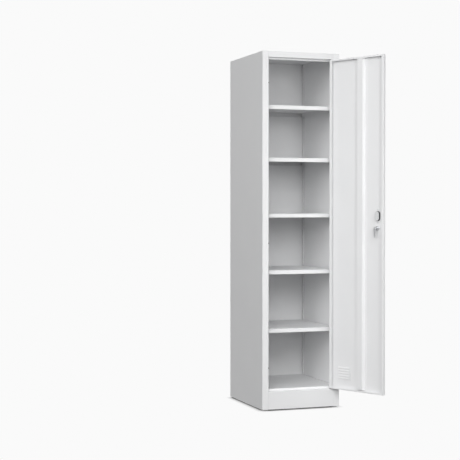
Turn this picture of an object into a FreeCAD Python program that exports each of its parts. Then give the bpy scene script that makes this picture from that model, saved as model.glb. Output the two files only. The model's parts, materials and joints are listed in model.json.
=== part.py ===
import FreeCAD, Part
import os
import re

import Sketcher
from FreeCAD import Placement, Rotation, Vector

# A single-door steel locker with six compartments. Millimetres, +Z up, front towards -Y.
# The origin is on the floor, under the middle of the cabinet. Every door-mounted piece is
# drawn with the door shut and then swung to the open rest position about the hinge pins.

DIMENSIONS = [
    ("cab_width", 430, "outside width"),
    ("cab_depth", 500, "outside depth"),
    ("cab_height", 1850, "outside height"),
    ("sheet", 0.8, "steel sheet"),
    ("frame_bend", 1.2, "rounding of the cabinet's folds"),
    ("door_bend", 1.2, "rounding of the door's folds"),
    ("shelf_bend", 0.7, "rounding of a shelf's front fold"),
    ("overrun", 1, "cutters and flange ends beyond or short of what they meet"),
    ("foot_gap", 6, "steelwork above the floor"),
    ("stile_width", 33, "front stiles beside the door"),
    ("rail_height", 30, "front rail above the door"),
    ("plinth_top", 98, "top of the front rail below the door"),
    ("return_depth", 24, "frame returns behind the front face"),
    ("stop_lip", 10, "lips that the door closes against"),
    ("floor_top", 110, "top of the lowest compartment's floor"),
    ("side_flange", 16, "rear flanges of the side panels"),
    ("base_flange", 20, "bottom and top flanges"),
    ("door_gap", 2.5, "gap round the door"),
    ("door_depth", 16, "depth of the door pan"),
    ("hinge_lip", 18, "return lip up the door's hinge side"),
    ("free_lip", 14, "return lip up the door's free side"),
    ("end_lip", 9, "return lips along the door's ends"),
    ("pivot_inset", 6, "hinge axis from the door's hinge edge"),
    ("pivot_setback", 5, "hinge axis behind the door's face"),
    ("open_angle", 115, "door opening at rest"),
    ("pin_radius", 2.5, "hinge pins"),
    ("pin_play", 0.05, "radial play of pins and the lock plug"),
    ("pin_reach", 10, "hinge pin and bush beyond the rail's edge"),
    ("pin_root", 3, "hinge pin past its bracket, inside the door"),
    ("bush_wall", 1.3, "hinge bush wall"),
    ("bush_flange", 1.2, "hinge bush flange in the door gap"),
    ("bush_rim", 0.8, "hinge bush flange beyond its sleeve"),
    ("bracket_width", 34, "pin bracket along the door's end"),
    ("bracket_thick", 3, "pin bracket plate"),
    ("shelf_1_top", 1577, "top shelf"),
    ("shelf_2_top", 1305.5, "second shelf"),
    ("shelf_3_top", 1016, "third shelf"),
    ("shelf_4_top", 722, "fourth shelf"),
    ("shelf_5_top", 418.5, "lowest shelf"),
    ("shelf_lip", 20, "turned-down edges of a shelf"),
    ("shelf_return", 9, "return under a shelf's front and back edges"),
    ("shelf_setback", 36, "shelf front behind the cabinet's front"),
    ("shelf_play", 1.6, "shelf edge to the uprights"),
    ("upright_depth", 5, "slotted uprights out from the side"),
    ("upright_crown", 6, "half width of an upright's crown"),
    ("upright_base", 12, "half width of an upright"),
    ("upright_front", 70, "front uprights behind the cabinet's front"),
    ("upright_rear", 20, "rear uprights before the cabinet's back"),
    ("slot_height", 12, "slots in the uprights"),
    ("slot_half", 2, "half width of a slot"),
    ("slot_first", 160, "lowest slot above the floor"),
    ("slot_pitch", 50, "slot spacing"),
    ("slot_count", 33, "slots in one upright"),
    ("clip_thick", 1.2, "shelf clip sheet"),
    ("clip_half", 8, "half width of a shelf clip"),
    ("clip_reach", 13, "shelf clip under the shelf"),
    ("clip_rise", 8, "shelf clip beside the shelf"),
    ("clip_drop", 15, "shelf clip below the shelf"),
    ("foot_radius", 15, "glide pads"),
    ("foot_pad", 5, "glide pad height"),
    ("stud_radius", 4, "glide studs"),
    ("stud_top", 24, "top of the glide studs"),
    ("foot_inset", 32, "glides in from the cabinet's sides"),
    ("foot_clear", 3, "corner plates clear of the front lips and the back"),
    ("plate_size", 46, "corner plates that take the glides"),
    ("plate_thick", 3, "corner plate thickness"),
    ("nut_flats", 13, "glide nut across its flats"),
    ("nut_height", 6.5, "glide nut height"),
    ("buffer_radius", 4, "door buffers"),
    ("buffer_low", 218, "lowest buffer"),
    ("buffer_middle", 863, "middle buffer"),
    ("buffer_high", 1690, "highest buffer"),
    ("buffer_play", 0.4, "closed door to the buffers"),
    ("strike_height", 70, "strike plate behind the stop lip"),
    ("strike_thick", 1.5, "strike plate thickness"),
    ("rivet_radius", 3.2, "rivet heads on the back"),
    ("rivet_head", 1.2, "height of a rivet head"),
    ("rivet_end", 80, "first and last rivets from the cabinet's ends"),
    ("rivet_count", 8, "rivets along one rear flange"),
    ("crown_centre", 204, "door stiffener from the hinge edge"),
    ("crown_half", 18.5, "half width of the stiffener's crown"),
    ("crown_foot", 26, "half width between the stiffener's feet"),
    ("crown_flange", 10, "stiffener feet"),
    ("stiffener_top", 2.5, "stiffener's upper end below the door's top"),
    ("stiffener_foot", 12.5, "stiffener's open lower end above the door's foot"),
    ("vent_left", 47.5, "near edge of the vent plate from the hinge edge"),
    ("vent_width", 87, "vent plate width"),
    ("vent_foot", 151, "bottom of the vent plate"),
    ("vent_height", 76, "vent plate height"),
    ("louvre_pitch", 13.5, "spacing of the louvres"),
    ("louvre_count", 5, "louvres in the vent plate"),
    ("louvre_inset", 4, "louvre ends in from the plate's edges"),
    ("louvre_height", 7, "one louvre"),
    ("louvre_proud", 3.2, "louvre out from the plate"),
    ("handle_inset", 47, "handle centre from the door's free edge"),
    ("handle_half", 19, "half width of the handle plate"),
    ("handle_foot", 925, "bottom of the handle plate"),
    ("handle_top", 1041, "top of the handle plate"),
    ("handle_proud", 3, "handle plate on the door's face"),
    ("handle_corner", 3, "handle plate's corners"),
    ("handle_edge", 0.7, "rounding of the handle plate's face"),
    ("dish_half", 13.5, "half width of the handle's tapering dish at its top"),
    ("dish_tip", 6, "half width of the dish at its lower end"),
    ("dish_foot", 962, "lower end of the dish"),
    ("dish_top", 1034, "upper end of the dish"),
    ("dish_waist", 994, "where the dish starts to narrow"),
    ("dish_depth", 2.2, "dish in the handle plate"),
    ("dish_corner", 5, "dish corners"),
    ("cup_middle", 1004, "middle of the oval cup behind the handle"),
    ("cup_half", 13.5, "half width of the cup"),
    ("cup_rise", 23.5, "half height of the cup"),
    ("cup_depth", 11.2, "cup behind the door's face"),
    ("cup_play", 0.3, "cup in its cut-out"),
    ("grip_half", 12.2, "half width of the finger recess"),
    ("grip_rise", 22.2, "half height of the finger recess"),
    ("grip_depth", 9.8, "finger recess behind the door's face"),
    ("grip_sweep", 4, "rounding of the recess floor"),
    ("collar_half", 16, "half width of the collar round the cup, at the door's skin"),
    ("collar_rise", 26, "half height of the collar, at the door's skin"),
    ("collar_taper", 1.7, "collar narrower at its top, all round"),
    ("collar_height", 8.6, "collar out from the door's skin"),
    ("clamp_rise", 34, "retainer screws above and below the cup's middle"),
    ("clamp_radius", 3, "retainer screw heads"),
    ("clamp_head", 1.6, "height of a retainer screw head"),
    ("lock_height", 943, "lock centre"),
    ("lock_radius", 8, "lock barrel"),
    ("lock_flange", 10, "lock barrel flange"),
    ("lock_proud", 2.4, "lock barrel flange thickness"),
    ("plug_radius", 6, "lock plug"),
    ("plug_proud", 1.2, "plug in front of the barrel's flange"),
    ("keyway_half", 1, "half width of the keyway"),
    ("keyway_deep", 9, "keyway depth"),
    ("keyway_rise", 4, "half height of the keyway"),
    ("barrel_length", 14, "barrel behind the handle plate"),
    ("ring_nut_radius", 11, "lock nut"),
    ("ring_nut_height", 4, "lock nut height"),
    ("cam_gap", 1.8, "cam behind the stop lip"),
    ("cam_thick", 2, "cam thickness"),
    ("cam_half", 6, "half width of the cam"),
    ("cam_tip", 4, "half width of the cam's tip"),
    ("cam_corner", 2.5, "cam's corners"),
    ("cam_reach", 47, "cam tip from the lock's axis"),
    ("screw_radius", 4, "cam screw head"),
    ("screw_head", 2.6, "cam screw head height"),
    ("drive_half", 3, "half length of the cam screw's slot"),
    ("drive_rise", 0.5, "half width of the cam screw's slot"),
    ("drive_depth", 1, "depth of the cam screw's slot"),
    ("shank_half", 0.8, "half thickness of the key"),
    ("shank_rise", 3.2, "half height of the key shank"),
    ("shank_clear", 0.5, "key tip short of the keyway's end"),
    ("knuckle_out", 8, "folding joint in front of the plug"),
    ("knuckle_radius", 3.6, "folding joint of the key"),
    ("fold_pin", 1.2, "pin in the key's folding joint"),
    ("fold_pin_inset", 3, "ends of the folding pin inside the bow"),
    ("bow_half_top", 13, "half width of the key's bow at the joint"),
    ("bow_half_foot", 6, "half width of the bow's end"),
    ("bow_drop", 24, "bow below its joint"),
    ("bow_shoulder", 3, "straight part of the bow above and below its joint"),
    ("bow_corner", 2.2, "bow's corners"),
    ("bow_thick", 4, "bow thickness"),
    ("bow_slot", 1.3, "half width of the slot for the shank"),
    ("bow_hole", 2.6, "ring hole in a bow"),
    ("bow_hole_drop", 19.5, "ring hole below the joint"),
    ("ring_radius", 7.5, "key ring"),
    ("ring_wire", 0.8, "key ring wire"),
    ("spare_radius", 13, "spare key bow"),
    ("spare_hole_rise", 8.5, "ring hole above the spare bow's centre"),
    ("spare_thick", 3.4, "spare key bow thickness"),
    ("blade_half", 3.2, "half width of the spare key's blade"),
    ("blade_length", 25, "spare key's blade beyond its bow"),
    ("blade_bury", 5, "spare key's blade inside its bow"),
    ("blade_point", 2, "slanted end of the blade"),
    ("tooth_first", 3, "first tooth from the blade's end"),
    ("tooth_pitch", 3.6, "spacing of the blade's teeth"),
    ("tooth_count", 5, "teeth along the blade"),
    ("tooth_peak", 2.9, "teeth out from the blade's middle"),
    ("tooth_root", 1.4, "notches out from the blade's middle"),
]
NAMES = {name for name, _, _ in DIMENSIONS}

# Places that several pieces share, worked out from the sheet's cells.
FRONT = "(-cab_depth / 2)"
BACK = "(cab_depth / 2)"
INSIDE = "(cab_width / 2 - sheet)"
OPENING = "(cab_width / 2 - stile_width)"
LIP_EDGE = "(cab_width / 2 - stile_width - stop_lip)"
LIP_BACK = "(return_depth - cab_depth / 2)"
LIP_FACE = "(return_depth - sheet - cab_depth / 2)"
RAIL_FOOT = "(cab_height - rail_height)"
DOOR_HALF = "(cab_width / 2 - stile_width - door_gap)"
DOOR_FOOT = "(plinth_top + door_gap)"
DOOR_TOP = "(cab_height - rail_height - door_gap)"
SKIN = "(sheet - cab_depth / 2)"
DOOR_BACK = "(door_depth - cab_depth / 2)"
PIVOT_X = "(cab_width / 2 - stile_width - door_gap - pivot_inset)"
PIVOT_Y = "(pivot_setback - cab_depth / 2)"
SHELF_FRONT = "(shelf_setback - cab_depth / 2)"
SHELF_BACK = "(cab_depth / 2 - 2 * sheet - shelf_play)"
SHELF_HALF = "(cab_width / 2 - sheet - upright_depth - shelf_play)"
UPRIGHT_FACE = "(cab_width / 2 - sheet - upright_depth)"
HANDLE_X = "(stile_width + door_gap + handle_inset - cab_width / 2)"
LOCK_FACE = "(-cab_depth / 2 - handle_proud - lock_proud)"
PLUG_FACE = "(-cab_depth / 2 - handle_proud - lock_proud - plug_proud)"
CAM_FACE = "(return_depth + cam_gap - cab_depth / 2)"
KNUCKLE_Y = "(-cab_depth / 2 - handle_proud - lock_proud - plug_proud - knuckle_out)"
BOW_HOLE_Z = "(lock_height - bow_hole_drop)"
RING_Z = "(lock_height - bow_hole_drop - ring_radius)"
SPARE_HOLE_Z = "(lock_height - bow_hole_drop - 2 * ring_radius)"
SPARE_Z = "(lock_height - bow_hole_drop - 2 * ring_radius - spare_hole_rise)"

SHELVES = ["shelf_1_top", "shelf_2_top", "shelf_3_top", "shelf_4_top", "shelf_5_top"]
SIDES = {"left": -1, "right": 1}
ENDS = {"front": -1, "rear": 1}

document = FreeCAD.newDocument("locker")
pieces = []


def cells(expression):
    """The expression with each dimension's name turned into its cell."""
    def cell(word):
        name = word.group()
        return "Sizes." + name if name in NAMES else name

    return re.sub(r"[a-z_][a-z_0-9]*", cell, expression)


def value(expression):
    """The number that an expression gives now."""
    return float(document.Sizes.evalExpression(cells(expression)))


def bind(thing, prop, expression):
    """Bind one property of an object to the sheet."""
    thing.setExpression(prop, cells(expression))


def make_sheet():
    """The spreadsheet that holds the driving dimensions."""
    sheet = document.addObject("Spreadsheet::Sheet", "Sizes")
    for row, (name, size, meaning) in enumerate(DIMENSIONS, start=1):
        sheet.set(f"A{row}", meaning)
        sheet.set(f"B{row}", str(size))
        sheet.setAlias(f"B{row}", name)
    document.recompute()


def keep(thing, label, on_door=False):
    """Give a finished piece its label, swing it with the door, and list it for writing."""
    thing.Label = label
    if on_door:
        axis = Vector(value(PIVOT_X), value(PIVOT_Y), 0)
        swing = Rotation(Vector(0, 0, 1), value("open_angle"))
        thing.Placement = Placement(Vector(0, 0, 0), swing, axis)
    pieces.append(thing)
    return thing


# Sketch-based features ------------------------------------------------------------------

def new_body(name):
    """An empty PartDesign body."""
    return document.addObject("PartDesign::Body", "body_" + name)


def origin_plane(body, role):
    """One of the body's own origin planes."""
    for feature in body.Origin.OriginFeatures:
        if feature.Role == role:
            return feature
    raise ValueError(role)


def add_polygon(sketch, corners):
    """A closed outline whose corners are bound to the sheet."""
    points = [Vector(value(first), value(second), 0) for first, second in corners]
    base = sketch.GeometryCount
    count = len(points)
    for index in range(count):
        sketch.addGeometry(Part.LineSegment(points[index], points[(index + 1) % count]), False)
    for index in range(count):
        after = base + (index + 1) % count
        sketch.addConstraint(Sketcher.Constraint("Coincident", base + index, 2, after, 1))
    for index, (first, second) in enumerate(corners):
        for kind, expression in (("DistanceX", first), ("DistanceY", second)):
            size = value(expression)
            number = sketch.addConstraint(Sketcher.Constraint(kind, -1, 1, base + index, 1, size))
            sketch.setExpression(f"Constraints[{number}]", cells(expression))


def add_circle(sketch, across, up, radius):
    """A circle whose centre and radius are bound to the sheet."""
    centre = Vector(value(across), value(up), 0)
    number = sketch.addGeometry(Part.Circle(centre, Vector(0, 0, 1), value(radius)), False)
    for kind, expression in (("DistanceX", across), ("DistanceY", up)):
        fixed = sketch.addConstraint(
            Sketcher.Constraint(kind, -1, 1, number, 3, value(expression)))
        sketch.setExpression(f"Constraints[{fixed}]", cells(expression))
    fixed = sketch.addConstraint(Sketcher.Constraint("Radius", number, value(radius)))
    sketch.setExpression(f"Constraints[{fixed}]", cells(radius))


def add_sketch(body, plane, start, outlines):
    """A sketch of closed outlines, parallel to an origin plane at a bound distance from it."""
    sketch = body.newObject("Sketcher::SketchObject", "outline")
    sketch.AttachmentSupport = [(origin_plane(body, plane), "")]
    sketch.MapMode = "FlatFace"
    sign = "-1" if plane == "XZ_Plane" else "1"
    bind(sketch, "AttachmentOffset.Base.z", f"{sign} * ({start})")
    for outline in outlines:
        if len(outline) == 3 and isinstance(outline[0], str):
            add_circle(sketch, *outline)
        else:
            add_polygon(sketch, outline)
    return sketch


def pad(body, plane, start, length, *outlines):
    """Add material from start, towards the plane's positive world axis."""
    sketch = add_sketch(body, plane, start, outlines)
    feature = body.newObject("PartDesign::Pad", "pad")
    feature.Profile = sketch
    feature.Reversed = plane == "XZ_Plane"
    bind(feature, "Length", length)
    body.Tip = feature
    document.recompute()
    return feature


def pocket(body, plane, start, length, *outlines):
    """Cut material from start, towards the plane's positive world axis."""
    before = body.Shape.Volume
    sketch = add_sketch(body, plane, start, outlines)
    feature = body.newObject("PartDesign::Pocket", "pocket")
    feature.Profile = sketch
    feature.Reversed = plane != "XZ_Plane"
    bind(feature, "Length", length)
    body.Tip = feature
    document.recompute()
    if body.Shape.Volume > before - 0.01:
        raise RuntimeError(f"{body.Name}: a pocket cut nothing")
    return feature


def repeat(body, feature, axis, length, count):
    """A linear pattern of one feature along one of the body's axes."""
    pattern = body.newObject("PartDesign::LinearPattern", "row")
    pattern.Originals = [feature]
    pattern.Direction = (origin_plane(body, axis), [""])
    bind(pattern, "Length", length)
    bind(pattern, "Occurrences", count)
    body.Tip = pattern
    document.recompute()
    return pattern


def round_edges(body, radius, wanted):
    """Fillet the edges that a test picks out, with a radius bound to the sheet."""
    names = [f"Edge{number}" for number, edge in enumerate(body.Shape.Edges, start=1)
             if wanted(edge)]
    base = body.Tip
    feature = body.newObject("PartDesign::Fillet", "rounding")
    feature.Base = (base, names)
    bind(feature, "Radius", radius)
    body.Tip = feature
    document.recompute()
    if "Invalid" in feature.State:
        raise RuntimeError(f"{body.Name}: rounding {names} failed")
    return feature


def runs_along(edge, axis, length=None):
    """True for a straight edge along an axis, and of a length if one is given."""
    if edge.Curve.TypeId != "Part::GeomLine":
        return False
    straight = abs(abs(edge.tangentAt(edge.FirstParameter).dot(axis)) - 1) < 1e-6
    return straight and (length is None or abs(edge.Length - length) < 1e-3)


def box_outline(low_a, high_a, low_b, high_b):
    """The four corners of a rectangle."""
    return [(low_a, low_b), (high_a, low_b), (high_a, high_b), (low_a, high_b)]


# Part primitives ------------------------------------------------------------------------

def place(thing, across, along, up):
    """Bind an object's position to the sheet."""
    bind(thing, "Placement.Base.x", across)
    bind(thing, "Placement.Base.y", along)
    bind(thing, "Placement.Base.z", up)


def block(across, along, up, length, width, height):
    """A box from its lowest corner."""
    box = document.addObject("Part::Box", "block")
    bind(box, "Length", length)
    bind(box, "Width", width)
    bind(box, "Height", height)
    place(box, across, along, up)
    return box


def disc(across, along, up, radius, height, axis=Vector(0, 0, 1)):
    """A cylinder from the centre of its first end."""
    cylinder = document.addObject("Part::Cylinder", "disc")
    bind(cylinder, "Radius", radius)
    bind(cylinder, "Height", height)
    cylinder.Placement = Placement(Vector(0, 0, 0), Rotation(Vector(0, 0, 1), axis))
    place(cylinder, across, along, up)
    return cylinder


def fuse(first, second):
    """Two shapes as one solid."""
    joined = document.addObject("Part::Fuse", "joined")
    joined.Base = first
    joined.Tool = second
    return joined


def cut(first, second):
    """The first shape less the second."""
    rest = document.addObject("Part::Cut", "rest")
    rest.Base = first
    rest.Tool = second
    return rest


def group(label, things, on_door=False):
    """Separate identical solids in one node."""
    together = document.addObject("Part::Compound", label)
    together.Links = things
    document.recompute()
    return keep(together, label, on_door)


# The cabinet ----------------------------------------------------------------------------

def side_panel(name, side):
    """Side sheet folded round into the front stile, its return and the stop lip."""
    body = new_body(name)
    half = f"{side} * cab_width / 2"
    stile = f"{side} * {OPENING}"
    tip = f"{side} * {LIP_EDGE}"
    inner = f"{side} * {INSIDE}"
    flange = f"{side} * (cab_width / 2 - side_flange)"
    behind = f"{side} * ({OPENING} + sheet)"
    outline = [
        (flange, BACK), (half, BACK), (half, FRONT), (stile, FRONT),
        (stile, LIP_FACE), (tip, LIP_FACE), (tip, LIP_BACK), (behind, LIP_BACK),
        (behind, SKIN), (inner, SKIN), (inner, f"{BACK} - sheet"), (flange, f"{BACK} - sheet"),
    ]
    pad(body, "XY_Plane", "foot_gap", "cab_height - sheet - foot_gap", outline)
    toe = box_outline(inner, f"{side} * ({INSIDE} - base_flange)",
                      f"{LIP_BACK} + sheet", f"{BACK} - sheet")
    pad(body, "XY_Plane", "foot_gap", "sheet", toe)
    upward = Vector(0, 0, 1)
    y_front = value(FRONT)
    round_edges(body, "frame_bend", lambda edge: runs_along(edge, upward)
                and abs(edge.CenterOfMass.y - y_front) < 1e-3)
    return keep(body, name + "_side_panel")


def back_panel():
    """Flat sheet inside the side panels' rear flanges."""
    body = new_body("back")
    outline = box_outline(f"-{INSIDE}", INSIDE, "foot_gap + sheet", "cab_height - sheet")
    pad(body, "XZ_Plane", f"{BACK} - 2 * sheet", "sheet", outline)
    return keep(body, "back_panel")


def top_panel():
    """Top sheet over the sides, with inner flanges and the front rail folded under it."""
    body = new_body("top")
    top = "(cab_height - sheet)"
    rear = f"{BACK} - 2 * sheet"
    pad(body, "XY_Plane", top, "sheet",
        box_outline("-cab_width / 2", "cab_width / 2", FRONT, BACK))
    y_front = value(FRONT)
    round_edges(body, "frame_bend", lambda edge: runs_along(edge, Vector(0, 0, 1))
                and abs(edge.CenterOfMass.y - y_front) < 1e-3)
    for side in SIDES.values():
        edge = f"{side} * {INSIDE}"
        pad(body, "XY_Plane", "cab_height - base_flange", "base_flange - sheet",
            box_outline(edge, f"{side} * ({INSIDE} - sheet)", f"{LIP_BACK} + overrun", rear))
    rail = [
        (FRONT, top), (FRONT, RAIL_FOOT), (LIP_FACE, RAIL_FOOT), (LIP_FACE, f"{RAIL_FOOT} + sheet"),
        (SKIN, f"{RAIL_FOOT} + sheet"), (SKIN, top),
    ]
    pad(body, "YZ_Plane", f"-{OPENING}", f"2 * {OPENING}", rail)
    pad(body, "XZ_Plane", LIP_FACE, "sheet",
        box_outline(f"-{LIP_EDGE}", LIP_EDGE, f"{RAIL_FOOT} - stop_lip", f"{RAIL_FOOT} + sheet"))
    fold_z = value(RAIL_FOOT)
    round_edges(body, "frame_bend", lambda edge: runs_along(edge, Vector(1, 0, 0))
                and abs(edge.CenterOfMass.y - y_front) < 1e-3
                and abs(edge.CenterOfMass.z - fold_z) < 1e-3)
    bush_hole(body, RAIL_FOOT)
    return keep(body, "top_panel")


def bush_hole(body, flange_foot):
    """Hole for a hinge bush through a rail's flange, on the hinge axis."""
    pocket(body, "XY_Plane", f"{flange_foot} - overrun", "sheet + 2 * overrun",
           (PIVOT_X, PIVOT_Y, "pin_radius + bush_wall"))


def plinth_rail():
    """Front rail below the door, folded back at its top and bottom."""
    body = new_body("plinth")
    outline = [
        (LIP_FACE, "foot_gap"), (FRONT, "foot_gap"), (FRONT, "plinth_top"), (LIP_FACE, "plinth_top"),
        (LIP_FACE, "plinth_top - sheet"), (SKIN, "plinth_top - sheet"),
        (SKIN, "foot_gap + sheet"), (LIP_FACE, "foot_gap + sheet"),
    ]
    pad(body, "YZ_Plane", f"-{OPENING}", f"2 * {OPENING}", outline)
    y_front = value(FRONT)
    round_edges(body, "frame_bend", lambda edge: runs_along(edge, Vector(1, 0, 0))
                and abs(edge.CenterOfMass.y - y_front) < 1e-3)
    bush_hole(body, "plinth_top - sheet")
    return keep(body, "plinth_rail")


def floor_panel():
    """Floor of the lowest compartment, with the riser that the door closes against."""
    body = new_body("floor")
    pad(body, "XY_Plane", "floor_top - sheet", "sheet",
        box_outline(f"-{INSIDE}", INSIDE, LIP_BACK, f"{BACK} - 2 * sheet"))
    pad(body, "XZ_Plane", LIP_FACE, "sheet",
        box_outline(f"-{LIP_EDGE}", LIP_EDGE, "plinth_top - sheet", "floor_top"))
    for side in SIDES.values():
        pad(body, "XY_Plane", "floor_top - base_flange", "base_flange - sheet",
            box_outline(f"{side} * {INSIDE}", f"{side} * ({INSIDE} - sheet)",
                        f"{LIP_BACK} + overrun", f"{BACK} - 2 * sheet"))
    return keep(body, "floor_panel")


def upright(side_name, side, end_name, end):
    """Hat-section strip up an inside corner, slotted for the shelf clips."""
    body = new_body(f"upright_{side_name}_{end_name}")
    middle = f"{BACK} - upright_rear" if end > 0 else f"{FRONT} + upright_front"
    wall = f"{side} * {INSIDE}"
    skin = f"{side} * ({INSIDE} - sheet)"
    crown = f"{side} * {UPRIGHT_FACE}"
    under = f"{side} * ({UPRIGHT_FACE} + sheet)"
    low = f"{middle} - upright_base"
    high = f"{middle} + upright_base"
    outline = [
        (wall, low), (wall, f"{middle} - upright_crown + sheet"),
        (under, f"{middle} - upright_crown + sheet"), (under, f"{middle} + upright_crown - sheet"),
        (wall, f"{middle} + upright_crown - sheet"), (wall, high),
        (skin, high), (skin, f"{middle} + upright_crown"),
        (crown, f"{middle} + upright_crown"), (crown, f"{middle} - upright_crown"),
        (skin, f"{middle} - upright_crown"), (skin, low),
    ]
    pad(body, "XY_Plane", "floor_top", "cab_height - base_flange - floor_top", outline)
    slot = pocket(body, "YZ_Plane", f"{side} * {UPRIGHT_FACE} - 2 * sheet", "4 * sheet",
                  box_outline(f"{middle} - slot_half", f"{middle} + slot_half",
                              "slot_first", "slot_first + slot_height"))
    repeat(body, slot, "Z_Axis", "slot_pitch * (slot_count - 1)", "slot_count")
    return keep(body, f"upright_{side_name}_{end_name}")


def shelf(number, top):
    """Shelf tray with its four edges turned down and returns under the front and back."""
    body = new_body(f"shelf_{number}")
    pad(body, "XY_Plane", f"{top} - shelf_lip", "shelf_lip",
        box_outline(f"-{SHELF_HALF}", SHELF_HALF, SHELF_FRONT, SHELF_BACK))
    pocket(body, "XY_Plane", f"{top} - shelf_lip + sheet", "shelf_lip - 2 * sheet",
           box_outline(f"-{SHELF_HALF} + sheet", f"{SHELF_HALF} - sheet",
                       f"{SHELF_FRONT} + sheet", f"{SHELF_BACK} - sheet"))
    pocket(body, "XY_Plane", f"{top} - shelf_lip", "sheet",
           box_outline(f"-{SHELF_HALF} + sheet", f"{SHELF_HALF} - sheet",
                       f"{SHELF_FRONT} + shelf_return", f"{SHELF_BACK} - shelf_return"))
    front = value(SHELF_FRONT)
    height = value(top)
    across = Vector(1, 0, 0)
    round_edges(body, "shelf_bend", lambda edge: runs_along(edge, across)
                and abs(edge.CenterOfMass.y - front) < 1e-3
                and abs(edge.CenterOfMass.z - height) < 1e-3)
    return keep(body, f"shelf_{number}")


def shelf_clips():
    """Four clips under each shelf, hooked on the uprights."""
    clips = []
    for top in SHELVES:
        for side in SIDES.values():
            for end in ENDS.values():
                middle = f"{BACK} - upright_rear" if end > 0 else f"{FRONT} + upright_front"
                seat = f"{top} - shelf_lip"
                low_x = (f"{UPRIGHT_FACE} - clip_thick" if side > 0 else f"-{UPRIGHT_FACE}")
                tab_x = (f"{UPRIGHT_FACE} - clip_reach" if side > 0 else f"-{UPRIGHT_FACE}")
                plate = block(low_x, f"{middle} - clip_half", f"{seat} - clip_drop",
                              "clip_thick", "2 * clip_half", "clip_drop + clip_rise")
                tab = block(tab_x, f"{middle} - clip_half", f"{seat} - clip_thick",
                            "clip_reach", "2 * clip_half", "clip_thick")
                clips.append(fuse(plate, tab))
    return group("shelf_clips", clips)


def foot_places():
    """Name, x and y of the four glides."""
    for end_name, end in ENDS.items():
        for side_name, side in SIDES.items():
            across = f"{side} * (cab_width / 2 - foot_inset)"
            front = f"{LIP_BACK} + foot_clear + plate_size / 2"
            rear = f"{BACK} - foot_clear - plate_size / 2"
            along = rear if end > 0 else front
            yield f"foot_{end_name}_{side_name}", across, along


def foot(label, across, along):
    """Levelling glide: a round pad on a stud."""
    body = new_body(label)
    pad(body, "XY_Plane", "0", "foot_pad", (across, along, "foot_radius"))
    pad(body, "XY_Plane", "foot_pad", "stud_top - foot_pad", (across, along, "stud_radius"))
    return keep(body, label)


def foot_plates():
    """Corner plates on the base flanges, drilled for the glides' studs."""
    plates = []
    for _, across, along in foot_places():
        plate = block(f"{across} - plate_size / 2", f"{along} - plate_size / 2",
                      "foot_gap + sheet", "plate_size", "plate_size", "plate_thick")
        hole = disc(across, along, "foot_gap", "stud_radius + pin_play", "3 * plate_thick")
        plates.append(cut(plate, hole))
    return group("foot_plates", plates)


def foot_nuts():
    """Hexagon nuts that hold the studs in the corner plates."""
    nuts = []
    for _, across, along in foot_places():
        prism = document.addObject("Part::Prism", "hexagon")
        prism.Polygon = 6
        bind(prism, "Circumradius", "nut_flats / sqrt(3)")
        bind(prism, "Height", "nut_height")
        place(prism, across, along, "foot_gap + sheet + plate_thick")
        hole = disc(across, along, "foot_gap", "stud_radius + pin_play", "3 * nut_height")
        nuts.append(cut(prism, hole))
    return group("foot_nuts", nuts)


def hinge_bush(name, upper):
    """Flanged bush in a rail's flange, with its flange in the gap at the door's end."""
    body = new_body(name)
    if upper:
        flange, sleeve = f"{RAIL_FOOT} - bush_flange", RAIL_FOOT
    else:
        flange, sleeve = "plinth_top", "plinth_top - pin_reach"
    bore = "pin_radius + pin_play"
    outer = "pin_radius + bush_wall"
    pad(body, "XY_Plane", sleeve, "pin_reach", (PIVOT_X, PIVOT_Y, outer))
    pad(body, "XY_Plane", flange, "bush_flange", (PIVOT_X, PIVOT_Y, f"{outer} + bush_rim"))
    pocket(body, "XY_Plane", f"{sleeve} - bush_flange - overrun",
           "pin_reach + 2 * (bush_flange + overrun)", (PIVOT_X, PIVOT_Y, bore))
    return keep(body, name)


def strike_plate():
    """Stiffening plate behind the stop lip, where the cam bears when the door is locked."""
    body = new_body("strike")
    pad(body, "XZ_Plane", LIP_BACK, "strike_thick",
        box_outline(f"-{OPENING}", f"-{LIP_EDGE}",
                    "lock_height - strike_height / 2", "lock_height + strike_height / 2"))
    return keep(body, "strike_plate")


def door_buffers():
    """Rubber buffers on the stop lip of the lock side."""
    buffers = []
    across = f"-({LIP_EDGE} + stop_lip / 2)"
    for height in ("buffer_low", "buffer_middle", "buffer_high"):
        buffers.append(disc(across, f"{DOOR_BACK} + buffer_play", height, "buffer_radius",
                            f"{LIP_FACE} - {DOOR_BACK} - buffer_play", Vector(0, 1, 0)))
    return group("door_buffers", buffers)


def back_rivets():
    """Rivet heads along both rear flanges."""
    rivets = []
    for side in SIDES.values():
        for row in range(int(value("rivet_count"))):
            height = f"rivet_end + {row} * (cab_height - 2 * rivet_end) / (rivet_count - 1)"
            rivets.append(disc(f"{side} * (cab_width / 2 - side_flange / 2)", BACK, height,
                               "rivet_radius", "rivet_head", Vector(0, 1, 0)))
    return group("back_rivets", rivets)


# The door -------------------------------------------------------------------------------

def from_hinge(distance):
    """x of a point this far from the hinge edge of the shut door."""
    return f"({DOOR_HALF} - ({distance}))"


def oval(body, action, start, length, half, rise):
    """Pad or pocket an upright oval behind the handle: a block and a round at each end."""
    straight = f"({rise} - {half})"
    features = [action(body, "XZ_Plane", start, length,
                       box_outline(f"{HANDLE_X} - {half}", f"{HANDLE_X} + {half}",
                                   f"cup_middle - {straight}", f"cup_middle + {straight}"))]
    for sign in (-1, 1):
        features.append(action(body, "XZ_Plane", start, length,
                               (HANDLE_X, f"cup_middle + {sign} * {straight}", half)))
    return features


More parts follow.
